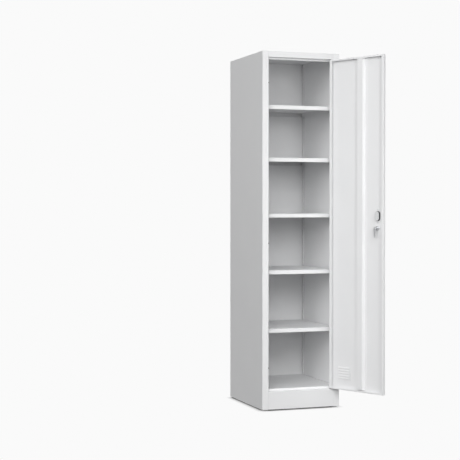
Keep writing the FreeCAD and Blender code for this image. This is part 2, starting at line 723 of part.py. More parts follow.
def door_panel():
    """Door pan: a flat skin with edges folded in and lips folded back over."""
    body = new_body("door")
    pad(body, "XZ_Plane", FRONT, "door_depth",
        box_outline(f"-{DOOR_HALF}", DOOR_HALF, DOOR_FOOT, DOOR_TOP))
    pocket(body, "XZ_Plane", SKIN, "door_depth - 2 * sheet",
           box_outline(f"-{DOOR_HALF} + sheet", f"{DOOR_HALF} - sheet",
                       f"{DOOR_FOOT} + sheet", f"{DOOR_TOP} - sheet"))
    pocket(body, "XZ_Plane", f"{DOOR_BACK} - sheet", "sheet",
           box_outline(f"-{DOOR_HALF} + free_lip", f"{DOOR_HALF} - hinge_lip",
                       f"{DOOR_FOOT} + end_lip", f"{DOOR_TOP} - end_lip"))
    oval(body, pocket, FRONT, "sheet", "(cup_half + cup_play)", "(cup_rise + cup_play)")
    pocket(body, "XZ_Plane", FRONT, "sheet", (HANDLE_X, "lock_height", "lock_radius + pin_play"))
    for end in (f"{DOOR_FOOT}", f"{DOOR_TOP} - sheet"):
        pocket(body, "XY_Plane", end, "sheet", (PIVOT_X, PIVOT_Y, "pin_radius + pin_play"))
    half = value(DOOR_HALF)
    ends = (value(DOOR_FOOT), value(DOOR_TOP))
    faces = (value(FRONT), value(DOOR_BACK))

    def is_fold(edge):
        """True for the long edges round the outside of the pan."""
        middle = edge.CenterOfMass
        outermost = (abs(abs(middle.x) - half) < 1e-3
                     or min(abs(middle.z - end) for end in ends) < 1e-3)
        on_face = min(abs(middle.y - face) for face in faces) < 1e-3
        return edge.Length > half and outermost and on_face

    round_edges(body, "door_bend", is_fold)
    return keep(body, "door_panel", on_door=True)


def door_stiffener():
    """Hat-section stiffener up the inside of the door."""
    body = new_body("stiffener")
    crown = f"({DOOR_BACK} - sheet)"
    under = f"({DOOR_BACK} - 2 * sheet)"
    foot_face = f"({SKIN} + sheet)"
    outline = []
    for sign in (-1, 1):
        outer = f"crown_centre + {sign} * crown_half"
        base = f"crown_centre + {sign} * crown_foot"
        inner = f"crown_centre + {sign} * (crown_half - sheet)"
        base_inner = f"crown_centre + {sign} * (crown_foot - sheet)"
        flange = f"crown_centre + {sign} * (crown_foot + crown_flange)"
        half = [
            (from_hinge(outer), crown), (from_hinge(base), foot_face),
            (from_hinge(flange), foot_face), (from_hinge(flange), SKIN),
            (from_hinge(base_inner), SKIN), (from_hinge(inner), under),
        ]
        outline += half if sign > 0 else half[::-1]
    pad(body, "XY_Plane", f"{DOOR_FOOT} + stiffener_foot",
        f"{DOOR_TOP} - {DOOR_FOOT} - stiffener_top - stiffener_foot", outline)
    return keep(body, "door_stiffener", on_door=True)


def vent_plate():
    """Inner vent plate with a row of pressed louvres, each open along its lower edge."""
    body = new_body("vent")
    near = from_hinge("vent_left")
    far = from_hinge("vent_left + vent_width")
    face = f"({SKIN} + sheet)"
    pad(body, "XZ_Plane", SKIN, "sheet", box_outline(far, near, "vent_foot",
                                                     "vent_foot + vent_height"))
    base = "(vent_foot + louvre_height)"
    hood = [
        (face, f"{base} + louvre_height"), (f"{face} + louvre_proud", base),
        (f"{face} + louvre_proud - sheet", base), (face, f"{base} + louvre_height - 2 * sheet"),
    ]
    hoods = pad(body, "YZ_Plane", f"{far} + louvre_inset", "vent_width - 2 * louvre_inset", hood)
    repeat(body, hoods, "Z_Axis", "louvre_pitch * (louvre_count - 1)", "louvre_count")
    return keep(body, "vent_plate", on_door=True)


def hinge_pin(name, upper):
    """Hinge pin through the door's end and its bracket."""
    body = new_body(name)
    depth = "(bracket_thick + sheet + pin_root)"
    if upper:
        start = f"{DOOR_TOP} - {depth}"
    else:
        start = f"{DOOR_FOOT} - pin_reach + door_gap"
    pad(body, "XY_Plane", start, f"{depth} + pin_reach - door_gap", (PIVOT_X, PIVOT_Y, "pin_radius"))
    return keep(body, name, on_door=True)


def pin_bracket(name, upper):
    """Plate inside the door's end that carries a hinge pin."""
    body = new_body(name)
    start = f"{DOOR_TOP} - sheet - bracket_thick" if upper else f"{DOOR_FOOT} + sheet"
    pad(body, "XY_Plane", start, "bracket_thick",
        box_outline(f"{DOOR_HALF} - sheet - bracket_width", f"{DOOR_HALF} - sheet",
                    SKIN, f"{DOOR_BACK} - sheet"))
    pocket(body, "XY_Plane", start, "bracket_thick", (PIVOT_X, PIVOT_Y, "pin_radius + pin_play"))
    return keep(body, name, on_door=True)


def pull_handle():
    """Cast handle: a plate with a tapering dish, an oval finger recess and the lock's seat."""
    body = new_body("handle")
    along = Vector(0, 1, 0)
    face = f"({FRONT} - handle_proud)"
    pad(body, "XZ_Plane", face, "handle_proud",
        box_outline(f"{HANDLE_X} - handle_half", f"{HANDLE_X} + handle_half",
                    "handle_foot", "handle_top"))
    round_edges(body, "handle_corner", lambda edge: runs_along(edge, along))
    face_y = value(face)
    round_edges(body, "handle_edge", lambda edge: abs(edge.BoundBox.YMin - face_y) < 1e-3
                and abs(edge.BoundBox.YMax - face_y) < 1e-3)
    pocket(body, "XZ_Plane", face, "dish_depth", [
        (f"{HANDLE_X} - dish_half", "dish_top"), (f"{HANDLE_X} - dish_half", "dish_waist"),
        (f"{HANDLE_X} - dish_tip", "dish_foot"), (f"{HANDLE_X} + dish_tip", "dish_foot"),
        (f"{HANDLE_X} + dish_half", "dish_waist"), (f"{HANDLE_X} + dish_half", "dish_top"),
    ])
    dish = value("dish_depth")
    round_edges(body, "dish_corner", lambda edge: runs_along(edge, along, dish))
    oval(body, pad, FRONT, "cup_depth", "cup_half", "cup_rise")
    oval(body, pocket, face, "handle_proud + grip_depth", "grip_half", "grip_rise")
    floor_y = value(f"{FRONT} + grip_depth")
    round_edges(body, "grip_sweep", lambda edge: abs(edge.BoundBox.YMin - floor_y) < 1e-3
                and abs(edge.BoundBox.YMax - floor_y) < 1e-3)
    pocket(body, "XZ_Plane", face, "handle_proud",
           (HANDLE_X, "lock_height", "lock_radius + pin_play"))
    return keep(body, "pull_handle", on_door=True)


def handle_retainer():
    """Tapering oval collar round the cup, on the inside of the door's skin."""
    body = new_body("collar")
    for feature in oval(body, pad, SKIN, "collar_height", "collar_half", "collar_rise"):
        bind(feature, "TaperAngle", "-atan(collar_taper / collar_height)")
    document.recompute()
    oval(body, pocket, SKIN, "collar_height", "(cup_half + cup_play)", "(cup_rise + cup_play)")
    return keep(body, "handle_retainer", on_door=True)


def retainer_screws():
    """Two screws that hold the handle, above and below its cup."""
    screws = []
    for sign in (-1, 1):
        screws.append(disc(HANDLE_X, SKIN, f"cup_middle + {sign} * clamp_rise", "clamp_radius",
                           "clamp_head", Vector(0, 1, 0)))
    return group("retainer_screws", screws, on_door=True)


def lock_barrel():
    """Fixed barrel of the lock, flanged over the handle plate."""
    body = new_body("barrel")
    pad(body, "XZ_Plane", LOCK_FACE, "lock_proud", (HANDLE_X, "lock_height", "lock_flange"))
    pad(body, "XZ_Plane", f"{FRONT} - handle_proud", "handle_proud + barrel_length",
        (HANDLE_X, "lock_height", "lock_radius"))
    pocket(body, "XZ_Plane", f"{LOCK_FACE} - overrun",
           "barrel_length + handle_proud + lock_proud + 2 * overrun",
           (HANDLE_X, "lock_height", "plug_radius + pin_play"))
    return keep(body, "lock_barrel", on_door=True)


def lock_nut():
    """Ring nut that clamps the barrel on the inside of the door's skin."""
    body = new_body("nut")
    pad(body, "XZ_Plane", SKIN, "ring_nut_height", (HANDLE_X, "lock_height", "ring_nut_radius"))
    pocket(body, "XZ_Plane", SKIN, "ring_nut_height",
           (HANDLE_X, "lock_height", "lock_radius + pin_play"))
    return keep(body, "lock_nut", on_door=True)


# The lock's moving parts and the keys -----------------------------------------------------

def lock_plug():
    """Turning plug with its keyway."""
    body = new_body("plug")
    pad(body, "XZ_Plane", PLUG_FACE, f"{CAM_FACE} - {PLUG_FACE}",
        (HANDLE_X, "lock_height", "plug_radius"))
    pocket(body, "XZ_Plane", PLUG_FACE, "keyway_deep",
           box_outline(f"{HANDLE_X} - keyway_half", f"{HANDLE_X} + keyway_half",
                       "lock_height - keyway_rise", "lock_height + keyway_rise"))
    return keep(body, "lock_plug", on_door=True)


def lock_cam():
    """Cam behind the plug. It points down while the lock is open."""
    body = new_body("cam")
    outline = [
        (f"{HANDLE_X} - cam_half", "lock_height + cam_half"),
        (f"{HANDLE_X} + cam_half", "lock_height + cam_half"),
        (f"{HANDLE_X} + cam_half", "lock_height - cam_half"),
        (f"{HANDLE_X} + cam_tip", "lock_height - cam_reach"),
        (f"{HANDLE_X} - cam_tip", "lock_height - cam_reach"),
        (f"{HANDLE_X} - cam_half", "lock_height - cam_half"),
    ]
    pad(body, "XZ_Plane", CAM_FACE, "cam_thick", outline)
    along = Vector(0, 1, 0)
    thick = value("cam_thick")
    shoulder = value("lock_height - cam_half")
    round_edges(body, "cam_corner", lambda edge: runs_along(edge, along, thick)
                and abs(edge.CenterOfMass.z - shoulder) > 1e-3)
    return keep(body, "lock_cam", on_door=True)


def cam_screw():
    """Screw that holds the cam on the plug."""
    body = new_body("screw")
    start = f"{CAM_FACE} + cam_thick"
    pad(body, "XZ_Plane", start, "screw_head", (HANDLE_X, "lock_height", "screw_radius"))
    pocket(body, "XZ_Plane", f"{start} + screw_head - drive_depth", "drive_depth",
           box_outline(f"{HANDLE_X} - drive_half", f"{HANDLE_X} + drive_half",
                       "lock_height - drive_rise", "lock_height + drive_rise"))
    return keep(body, "cam_screw", on_door=True)


def key_shank():
    """Key blade in the keyway, ending in the eye of its folding joint."""
    body = new_body("shank")
    start = f"{PLUG_FACE} - knuckle_out"
    pad(body, "XZ_Plane", start, "knuckle_out + keyway_deep - shank_clear",
        box_outline(f"{HANDLE_X} - shank_half", f"{HANDLE_X} + shank_half",
                    "lock_height - shank_rise", "lock_height + shank_rise"))
    pad(body, "YZ_Plane", f"{HANDLE_X} - shank_half", "2 * shank_half",
        (KNUCKLE_Y, "lock_height", "knuckle_radius"))
    pocket(body, "YZ_Plane", f"{HANDLE_X} - shank_half - overrun", "2 * (shank_half + overrun)",
           (KNUCKLE_Y, "lock_height", "fold_pin + pin_play"))
    return keep(body, "key_shank", on_door=True)


def key_bow():
    """Folding plastic bow, slotted for the shank and hanging down from its joint."""
    body = new_body("bow")
    start = f"{KNUCKLE_Y} - bow_thick / 2"
    end = "lock_height - bow_drop"
    outline = [
        (f"{HANDLE_X} - bow_half_top", "lock_height - bow_shoulder"),
        (f"{HANDLE_X} - bow_half_foot", end), (f"{HANDLE_X} + bow_half_foot", end),
        (f"{HANDLE_X} + bow_half_top", "lock_height - bow_shoulder"),
        (f"{HANDLE_X} + bow_half_top", "lock_height + bow_shoulder"),
        (f"{HANDLE_X} - bow_half_top", "lock_height + bow_shoulder"),
    ]
    pad(body, "XZ_Plane", start, "bow_thick", outline)
    along = Vector(0, 1, 0)
    thick = value("bow_thick")
    round_edges(body, "bow_corner", lambda edge: runs_along(edge, along, thick))
    pocket(body, "XZ_Plane", start, "bow_thick",
           box_outline(f"{HANDLE_X} - bow_slot", f"{HANDLE_X} + bow_slot",
                       "lock_height - knuckle_radius - overrun",
                       "lock_height + bow_shoulder + overrun"),
           (HANDLE_X, BOW_HOLE_Z, "bow_hole"))
    pocket(body, "YZ_Plane", f"{HANDLE_X} - bow_half_top - overrun",
           "2 * (bow_half_top + overrun)",
           (KNUCKLE_Y, "lock_height", "fold_pin"))
    return keep(body, "key_bow", on_door=True)


def fold_pin():
    """Pin of the folding joint, held in the bow."""
    body = new_body("fold_pin")
    pad(body, "YZ_Plane", f"{HANDLE_X} - bow_half_top + fold_pin_inset",
        "2 * (bow_half_top - fold_pin_inset)",
        (KNUCKLE_Y, "lock_height", "fold_pin"))
    return keep(body, "key_fold_pin", on_door=True)


def key_ring():
    """Wire ring through both bows."""
    ring = document.addObject("Part::Torus", "ring")
    bind(ring, "Radius1", "ring_radius")
    bind(ring, "Radius2", "ring_wire")
    ring.Placement = Placement(Vector(0, 0, 0), Rotation(Vector(0, 0, 1), Vector(1, 0, 0)))
    place(ring, HANDLE_X, KNUCKLE_Y, RING_Z)
    return group("key_ring", [ring], on_door=True)


def spare_key_bow():
    """Round plastic bow of the spare key."""
    body = new_body("spare_bow")
    start = f"{KNUCKLE_Y} - spare_thick / 2"
    pad(body, "XZ_Plane", start, "spare_thick", (HANDLE_X, SPARE_Z, "spare_radius"))
    pocket(body, "XZ_Plane", start, "spare_thick", (HANDLE_X, SPARE_HOLE_Z, "bow_hole"))
    pocket(body, "XZ_Plane", f"{KNUCKLE_Y} - shank_half", "2 * shank_half",
           box_outline(f"{HANDLE_X} - blade_half", f"{HANDLE_X} + blade_half",
                       f"{SPARE_Z} - spare_radius - overrun",
                       f"{SPARE_Z} - spare_radius + blade_bury"))
    return keep(body, "spare_key_bow", on_door=True)


def spare_key_blade():
    """Flat steel blade of the spare key, cut along one edge."""
    body = new_body("spare_blade")
    top = f"({SPARE_Z} - spare_radius + blade_bury)"
    end = f"({SPARE_Z} - spare_radius - blade_length)"
    outline = [
        (f"{HANDLE_X} - blade_half", top), (f"{HANDLE_X} - blade_half", f"{end} + blade_point"),
        (f"{HANDLE_X} - blade_half / 3", end),
    ]
    for tooth in range(int(value("tooth_count"))):
        peak = f"{end} + tooth_first + {tooth} * tooth_pitch"
        outline.append((f"{HANDLE_X} + tooth_peak", peak))
        outline.append((f"{HANDLE_X} + tooth_root", f"{peak} + tooth_pitch / 2"))
    outline += [
        (f"{HANDLE_X} + blade_half", f"{end} + tooth_first + (tooth_count + 0.5) * tooth_pitch"),
        (f"{HANDLE_X} + blade_half", top),
    ]
    pad(body, "XZ_Plane", f"{KNUCKLE_Y} - shank_half", "2 * shank_half", outline)
    return keep(body, "spare_key_blade", on_door=True)


def build():
    """Every piece of the locker."""
    make_sheet()
    for name, side in SIDES.items():
        side_panel(name, side)
    back_panel()
    top_panel()
    plinth_rail()
    floor_panel()
    for side_name, side in SIDES.items():
        for end_name, end in ENDS.items():
            upright(side_name, side, end_name, end)
    for number, top in enumerate(SHELVES, start=1):
        shelf(number, top)
    shelf_clips()
    for label, across, along in foot_places():
        foot(label, across, along)
    foot_plates()
    foot_nuts()
    hinge_bush("upper_hinge_bush", True)
    hinge_bush("lower_hinge_bush", False)
    strike_plate()
    door_buffers()
    back_rivets()
    door_panel()
    door_stiffener()
    vent_plate()
    for end_name, upper in (("upper", True), ("lower", False)):
        hinge_pin(f"{end_name}_hinge_pin", upper)
        pin_bracket(f"{end_name}_pin_bracket", upper)
    pull_handle()
    handle_retainer()
    retainer_screws()
    lock_barrel()
    lock_nut()
    lock_plug()
    lock_cam()
    cam_screw()
    key_shank()
    key_bow()
    fold_pin()
    key_ring()
    spare_key_bow()
    spare_key_blade()


def check_and_write():
    """Stop on any failed feature or bad shape, then write one file for each piece."""
    document.recompute()
    for thing in document.Objects:
        bad = [state for state in thing.State if state in ("Invalid", "Error")]
        if bad:
            raise RuntimeError(f"{thing.Name} ({thing.Label}) is {bad}")
    for piece in pieces:
        if piece.Shape.isNull() or not piece.Shape.isValid() or not piece.Shape.Solids:
            raise RuntimeError(f"{piece.Label} has no valid shape")
    os.makedirs("parts", exist_ok=True)
    for piece in pieces:
        piece.Shape.exportStep(f"parts/{piece.Label}.step")
        print(f"{piece.Label}: {len(piece.Shape.Solids)} solids, {piece.Shape.Volume:.0f} mm3")


build()
check_and_write()
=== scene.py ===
import json
import math

import bpy
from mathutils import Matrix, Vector


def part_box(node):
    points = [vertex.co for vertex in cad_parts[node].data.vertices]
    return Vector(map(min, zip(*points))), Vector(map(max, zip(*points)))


# The looks of the locker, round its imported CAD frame. Metres, +Z up, front towards -Y.

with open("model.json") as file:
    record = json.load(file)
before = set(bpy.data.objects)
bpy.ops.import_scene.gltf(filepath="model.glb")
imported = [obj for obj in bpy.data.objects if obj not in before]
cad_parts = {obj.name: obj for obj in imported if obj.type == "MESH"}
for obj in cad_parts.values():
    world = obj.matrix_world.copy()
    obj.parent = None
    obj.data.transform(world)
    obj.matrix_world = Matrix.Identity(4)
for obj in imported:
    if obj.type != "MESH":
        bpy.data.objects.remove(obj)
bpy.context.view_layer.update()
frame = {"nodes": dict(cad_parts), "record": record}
nodes = frame["nodes"]

# Studio
PAPER = 0.956              # linear level of the plain pale background
WHITE = (1.0, 1.0, 1.0, 1.0)
# The light's lobes: degrees to the right of the front, degrees up, sharpness, strength.
SKY_LOBES = [
    (180.0, 9.0, 1.0, 0.45),
    (128.0, 20.0, 3.0, 1.1),
    (-70.0, 5.0, 12.0, 1.966),
    (-35.0, 5.0, 12.0, 0.735),
    (-35.0, 25.0, 12.0, 2.780),
    (-35.0, 50.0, 12.0, 0.878),
    (0.0, 5.0, 12.0, 0.212),
]
# Round lamps in front: degrees to the right of the front, height, watts.
LAMPS = [
    (-40.0, 1.7, 6.3),
    (0.0, 1.7, 17.7),
    (30.0, 0.5, 11.3),
]
LAMP_DISTANCE = 2.6        # on the floor plan, from the middle of the front
LAMP_SIZE = 1.0
FRONT = -0.25              # the front faces of the stiles
LAMP_AIM = (0.0, 0.0, 0.95)
FLOOR_TINT = 0.06          # the floor's own bounce
FLOOR_CONTACT = 0.03       # reach of the shade under the glides and the base
FLOOR_RADIUS = 150.0
UNDER_SHADOW_LEVEL = 0.15         # how dark the painted shadow makes the floor in under the base
UNDER_SHADOW_FADE = 0.03          # how far in from the base's edge it is as dark as that
FLOOR_CORNERS = 96
SHADE_SAMPLES = 16

# Camera
CAMERA_PLACE = (-2.451, -6.158, 1.037)
CAMERA_TURN = -19.22       # degrees from straight ahead, less than zero to the right
CAMERA_DIP = 0.95          # degrees below level
CAMERA_LENS = 96.4         # millimetres, on the sensor's width
CAMERA_SENSOR = 36.0
CAMERA_NEAR = 0.05
CAMERA_FAR = 400.0

# Finishes
CREVICE_REACH = 0.006      # how near two sheets are where the coat is darkened between them by painted shade
CREVICE_SAMPLES = 8
GLIDE_PAD = 0.0051         # height of a glide's plastic pad, with its stud above it
MID = (0.3, 0.7)           # the middle of a noise, where most of its values lie
POLISH_STRETCH = (1.0, 1.0, 0.06)
DRAWN_STRETCH = (1.0, 1.0, 0.12)


# Node helpers ---------------------------------------------------------------------------

# The Mix node's sockets for two colours, and for their mixture.
MIX_COLOURS = (6, 7)
MIX_RESULT = 2


class Shader:
    """A material's node tree, with short calls for the nodes that the finishes use."""

    def __init__(self, name):
        self.material = bpy.data.materials.new(name)
        self.material.use_nodes = True
        self.tree = self.material.node_tree
        self.tree.nodes.clear()
        self.output = self.add("ShaderNodeOutputMaterial")
        self.surface = self.add("ShaderNodeBsdfPrincipled")
        self.link(self.surface.outputs["BSDF"], self.output.inputs["Surface"])
        self.place = self.add("ShaderNodeTexCoord").outputs["Object"]

    def add(self, kind, **settings):
        node = self.tree.nodes.new(kind)
        for key, setting in settings.items():
            setattr(node, key, setting)
        return node

    def link(self, source, target):
        self.tree.links.new(source, target)

    def set(self, **values):
        """Set the shader's own sockets: underscores stand for spaces."""
        for key, setting in values.items():
            self.surface.inputs[key.replace("_", " ")].default_value = setting

    def stretched(self, scale):
        """The object's coordinates, scaled by a number for each axis."""
        mapping = self.add("ShaderNodeMapping")
        mapping.inputs["Scale"].default_value = scale
        self.link(self.place, mapping.inputs["Vector"])
        return mapping.outputs["Vector"]

    def noise(self, scale, detail=2.0, roughness=0.5, place=None):
        node = self.add("ShaderNodeTexNoise")
        node.inputs["Scale"].default_value = scale
        node.inputs["Detail"].default_value = detail
        node.inputs["Roughness"].default_value = roughness
        self.link(place or self.place, node.inputs["Vector"])
        return node.outputs["Fac"]

    def cells(self, scale):
        node = self.add("ShaderNodeTexVoronoi")
        node.inputs["Scale"].default_value = scale
        self.link(self.place, node.inputs["Vector"])
        return node.outputs["Distance"]

    def between(self, source, low, high, span=(0.0, 1.0)):
        """A number mapped from a span to the range from low to high."""
        node = self.add("ShaderNodeMapRange")
        node.inputs["From Min"].default_value, node.inputs["From Max"].default_value = span
        node.inputs["To Min"].default_value = low
        node.inputs["To Max"].default_value = high
        self.link(source, node.inputs["Value"])
        return node.outputs["Result"]

    def crevice(self, reach):
        """Near 1 in the open and near 0 where other surfaces stand within reach."""
        node = self.add("ShaderNodeAmbientOcclusion", samples=CREVICE_SAMPLES)
        node.inputs["Distance"].default_value = reach
        return node.outputs["AO"]

    def maths(self, operation, first, second):
        node = self.add("ShaderNodeMath", operation=operation)
        for socket, source in zip(node.inputs, (first, second)):
            if isinstance(source, (int, float)):
                socket.default_value = source
            else:
                self.link(source, socket)
        return node.outputs["Value"]

    def blend(self, factor, first, second):
        """Two colours mixed by a factor."""
        node = self.add("ShaderNodeMix", data_type="RGBA")
        self.link(factor, node.inputs["Factor"])
        for index, colour in zip(MIX_COLOURS, (first, second)):
            if isinstance(colour, tuple):
                node.inputs[index].default_value = (*colour, 1.0)
            else:
                self.link(colour, node.inputs[index])
        return node.outputs[MIX_RESULT]

    def colour(self, source):
        self.link(source, self.surface.inputs["Base Color"])

    def roughness(self, source):
        self.link(source, self.surface.inputs["Roughness"])

    def bump(self, height, distance, strength, below=None):
        """Relief of a given depth in metres, on top of an earlier one."""
        node = self.add("ShaderNodeBump")
        node.inputs["Distance"].default_value = distance
        node.inputs["Strength"].default_value = strength
        self.link(height, node.inputs["Height"])
        if below is not None:
            self.link(below, node.inputs["Normal"])
        return node.outputs["Normal"]

    def relief(self, normal):
        self.link(normal, self.surface.inputs["Normal"])


# Finishes -------------------------------------------------------------------------------

def white_steel():
    """Satin white powder coat: orange peel, fine grit, uneven tone, and painted shade darkening
    its corners and seams.
    """
    shader = Shader("white_powder_coat")
    cloud = shader.noise(scale=5.0, detail=3.0)
    grit = shader.noise(scale=2600.0, detail=2.0)
    tone = shader.blend(shader.between(cloud, low=0.0, high=1.0, span=MID),
                        (0.870, 0.873, 0.880), (0.885, 0.888, 0.893))
    speck = shader.between(grit, low=0.0, high=0.10, span=(0.30, 0.75))
    coat = shader.blend(speck, tone, (0.84, 0.843, 0.852))
    # Painted shade: the coat's colour turns towards dark grey where other surfaces stand close,
    # in seams and corners.
    painted_crevice_shade = shader.between(shader.crevice(CREVICE_REACH), low=0.55, high=0.0, span=(0.15, 0.8))
    shader.colour(shader.blend(painted_crevice_shade, coat, (0.30, 0.305, 0.315)))
    satin = shader.between(cloud, low=0.40, high=0.47, span=MID)
    shader.roughness(shader.maths("ADD", satin, shader.between(grit, low=-0.05, high=0.05)))
    ripple = shader.noise(scale=420.0, detail=2.0, roughness=0.55)
    peel = shader.bump(ripple, distance=0.00006, strength=0.6)
    shader.relief(shader.bump(grit, distance=0.00002, strength=0.5, below=peel))
    shader.set(IOR=1.5, Specular_IOR_Level=0.45)
    return shader.material


def handle_grey():
    """Light grey lacquer over a casting: soft sheen, faint mottle and finger polish."""
    shader = Shader("grey_lacquer")
    mottle = shader.noise(scale=150.0, detail=4.0, roughness=0.6)
    grain = shader.noise(scale=3000.0, detail=2.0)
    shader.colour(shader.blend(shader.between(mottle, low=0.0, high=1.0, span=MID),
                               (0.72, 0.725, 0.735), (0.76, 0.765, 0.77)))
    shader.roughness(shader.between(mottle, low=0.28, high=0.42, span=MID))
    shader.relief(shader.bump(grain, distance=0.00002, strength=0.5))
    shader.set(IOR=1.5, Coat_Weight=0.25, Coat_Roughness=0.12)
    return shader.material


def chrome():
    """Plated zinc casting: bright, with polishing lines and faint smears."""
    shader = Shader("chrome_plate")
    smear = shader.noise(scale=60.0, detail=4.0, roughness=0.6)
    lines = shader.noise(scale=900.0, detail=2.0, place=shader.stretched(POLISH_STRETCH))
    shader.colour(shader.blend(shader.between(smear, low=0.0, high=1.0, span=(0.35, 0.7)),
                               (0.74, 0.75, 0.77), (0.66, 0.67, 0.69)))
    gloss = shader.between(smear, low=0.10, high=0.24, span=MID)
    shader.roughness(shader.maths("ADD", gloss, shader.between(lines, low=-0.02, high=0.04)))
    shader.relief(shader.bump(lines, distance=0.00001, strength=0.4))
    shader.set(Metallic=1.0)
    return shader.material


def dark_chrome():
    """Plating of the collar round the handle's cup, darkened as a painted reflection of dark
    surroundings, with faint smears.
    """
    shader = Shader("chrome_painted_dark_reflection")
    smear = shader.noise(scale=90.0, detail=4.0, roughness=0.6)
    lines = shader.noise(scale=1100.0, detail=2.0, place=shader.stretched(POLISH_STRETCH))
    # Painted reflection: the dark base colour stands in for dark surroundings mirrored in the
    # collar.
    shader.colour(shader.blend(shader.between(smear, low=0.0, high=1.0, span=(0.35, 0.7)),
                               (0.19, 0.19, 0.20), (0.14, 0.14, 0.15)))
    shader.roughness(shader.between(smear, low=0.14, high=0.28, span=MID))
    shader.relief(shader.bump(lines, distance=0.00001, strength=0.4))
    shader.set(Metallic=1.0)
    return shader.material


def zinc_steel():
    """Zinc-plated steel: dull spangle and drawing lines."""
    shader = Shader("zinc_plate")
    spangle = shader.cells(scale=420.0)
    drawn = shader.stretched(DRAWN_STRETCH)
    grain = shader.noise(scale=1400.0, detail=3.0, roughness=0.6, place=drawn)
    shader.colour(shader.blend(shader.between(spangle, low=0.0, high=1.0, span=(0.0, 0.8)),
                               (0.70, 0.71, 0.73), (0.79, 0.80, 0.81)))
    shader.roughness(shader.between(spangle, low=0.34, high=0.50, span=(0.0, 0.8)))
    shader.relief(shader.bump(grain, distance=0.00002, strength=0.5))
    shader.set(Metallic=0.75)
    return shader.material


def key_plastic():
    """Black moulded plastic with a fine eroded texture and hand polish."""
    shader = Shader("black_key_plastic")
    worn = shader.noise(scale=120.0, detail=3.0, roughness=0.6)
    texture = shader.noise(scale=3200.0, detail=2.0)
    shader.colour(shader.blend(worn, (0.012, 0.012, 0.013), (0.024, 0.024, 0.026)))
    shader.roughness(shader.between(worn, low=0.24, high=0.46, span=MID))
    shader.relief(shader.bump(texture, distance=0.00003, strength=0.5))
    shader.set(IOR=1.5)
    return shader.material


def bush_plastic():
    """Natural nylon, slightly waxy."""
    shader = Shader("natural_nylon")
    cloud = shader.noise(scale=300.0, detail=3.0)
    shader.colour(shader.blend(cloud, (0.78, 0.77, 0.73), (0.84, 0.83, 0.79)))
    shader.roughness(shader.between(cloud, low=0.42, high=0.58, span=MID))
    shader.relief(shader.bump(shader.noise(scale=2400.0), distance=0.00002, strength=0.5))
    shader.set(Subsurface_Weight=0.15, Subsurface_Scale=0.002)
    return shader.material


def glide_plastic():
    """Dark moulded pad on a zinc-plated stud."""
    shader = Shader("glide")
    height = shader.add("ShaderNodeSeparateXYZ")
    shader.link(shader.place, height.inputs["Vector"])
    pad_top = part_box("foot_front_left")[0].z + GLIDE_PAD
    stud = shader.maths("GREATER_THAN", height.outputs["Z"], pad_top)
    dust = shader.noise(scale=240.0, detail=4.0, roughness=0.65)
    pad = shader.blend(dust, (0.045, 0.046, 0.05), (0.09, 0.09, 0.092))
    shader.colour(shader.blend(stud, pad, (0.6, 0.61, 0.63)))
    shader.link(stud, shader.surface.inputs["Metallic"])
    shader.roughness(shader.between(dust, low=0.38, high=0.7, span=MID))
    shader.relief(shader.bump(shader.noise(scale=2000.0), distance=0.00003, strength=0.6))
    return shader.material


def rubber():
    """Matt rubber with a fine pitted skin."""
    shader = Shader("buffer_rubber")
    bloom = shader.noise(scale=500.0, detail=3.0)
    shader.colour(shader.blend(bloom, (0.055, 0.055, 0.058), (0.10, 0.10, 0.102)))
    shader.roughness(shader.between(bloom, low=0.68, high=0.86, span=MID))
    pits = shader.noise(scale=2600.0, detail=3.0)
    shader.relief(shader.bump(pits, distance=0.00004, strength=0.7))
    return shader.material


FINISHES = {
    "white_steel": white_steel(),
    "handle_grey": handle_grey(),
    "chrome": chrome(),
    "dark_chrome": dark_chrome(),
    "zinc_steel": zinc_steel(),
    "key_plastic": key_plastic(),
    "bush_plastic": bush_plastic(),
    "glide_plastic": glide_plastic(),
    "rubber": rubber(),
}


def paint_cad_nodes():
    """Give every CAD node the finish of its slot in the record."""
    slots = {part["node"]: part["material_slot"] for part in frame["record"]["subparts"]}
    for name, node in nodes.items():
        for index in range(len(node.material_slots)):
            node.material_slots[index].material = FINISHES[slots[name]]


# Studio ---------------------------------------------------------------------------------

def new_tree(owner):
    """The owner's node tree, emptied."""
    owner.use_nodes = True
    owner.node_tree.nodes.clear()
    return owner.node_tree


def chain(tree, level, steps):
    """Pass a number through one maths node for each operation and amount."""
    for operation, amount in steps:
        step = tree.nodes.new("ShaderNodeMath")
        step.operation = operation
        step.inputs[1].default_value = amount
        tree.links.new(level, step.inputs[0])
        level = step.outputs["Value"]
    return level


def combine(tree, operation, *levels):
    """One maths node for two numbers of the tree."""
    node = tree.nodes.new("ShaderNodeMath")
    node.operation = operation
    for level, socket in zip(levels, node.inputs):
        tree.links.new(level, socket)
    return node.outputs["Value"]


def seen_by_camera(tree, unseen, seen, output):
    """Show one shader to the camera and another to all other rays."""
    choose = tree.nodes.new("ShaderNodeMixShader")
    camera_ray = tree.nodes.new("ShaderNodeLightPath").outputs["Is Camera Ray"]
    for source, socket in zip((camera_ray, unseen, seen), choose.inputs):
        tree.links.new(source, socket)
    tree.links.new(choose.outputs["Shader"], output.inputs["Surface"])


def lobe(tree, direction, turn, rise, sharpness, strength):
    """Light that is strongest from one direction and fades away from it."""
    turn, rise = math.radians(turn), math.radians(rise)
    aim = tree.nodes.new("ShaderNodeVectorMath")
    aim.operation = "DOT_PRODUCT"
    aim.inputs[1].default_value = (math.sin(turn) * math.cos(rise),
                                   -math.cos(turn) * math.cos(rise), math.sin(rise))
    tree.links.new(direction, aim.inputs[0])
    return chain(tree, aim.outputs["Value"],
                 (("MAXIMUM", 0.0), ("POWER", sharpness), ("MULTIPLY", strength)))


